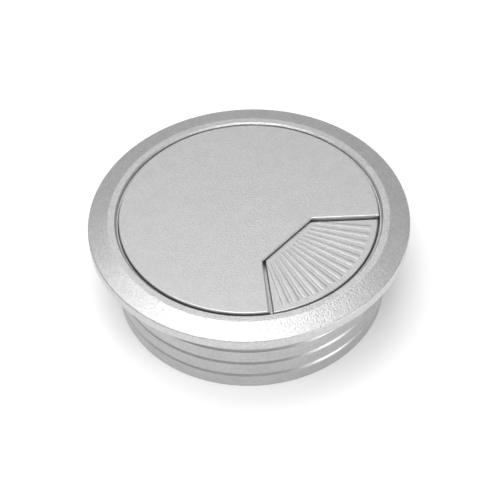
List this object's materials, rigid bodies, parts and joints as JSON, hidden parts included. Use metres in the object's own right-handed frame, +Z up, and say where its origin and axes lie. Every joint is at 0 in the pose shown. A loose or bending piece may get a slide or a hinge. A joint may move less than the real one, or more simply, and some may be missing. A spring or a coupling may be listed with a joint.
{
  "type": "desk cable grommet",
  "caption": "Round flanged sleeve for a desk top hole, with a turning cover and a ribbed rotary shutter that opens a fan-shaped cable outlet.",
  "frame": {"origin": "centre of the sleeve's foot, in the plane that the sleeve stands on", "axes": "+Z up the sleeve's axis towards the cover; the cable outlet faces between +X and -Y"},
  "size_m": [0.07, 0.07, 0.0223],
  "materials": {
    "flange_silver": "satin silver metallic lacquer over a fine grain",
    "cover_silver": "satin silver metallic lacquer over a fine grain",
    "shutter_silver": "satin silver metallic lacquer over a fine grain",
    "spring_steel": "rolled spring steel",
    "zinc_steel": "bright zinc-plated steel"
  },
  "bodies": {
    "ring": {"flange_ring": "flange_silver"},
    "spring": {"wave_spring": "spring_steel"},
    "cover": {"cover_cap": "cover_silver", "flat_washer": "zinc_steel", "pivot_screw": "zinc_steel"},
    "shutter": {"rotary_shutter": "shutter_silver"}
  },
  "joints": [
    {"name": "cover_lift", "type": "slide", "parent": "ring", "child": "spring", "axis": [0, 0, 1], "range_m": [0, 0.02]},
    {"name": "cover_turn", "type": "hinge", "parent": "spring", "child": "cover", "pos_m": [0, 0, 0.0211], "axis": [0, 0, 1], "continuous": true},
    {"name": "shutter_turn", "type": "hinge", "parent": "cover", "child": "shutter", "pos_m": [0, 0, 0.0198], "axis": [0, 0, 1], "range_deg": [-82, 0]}
  ]
}
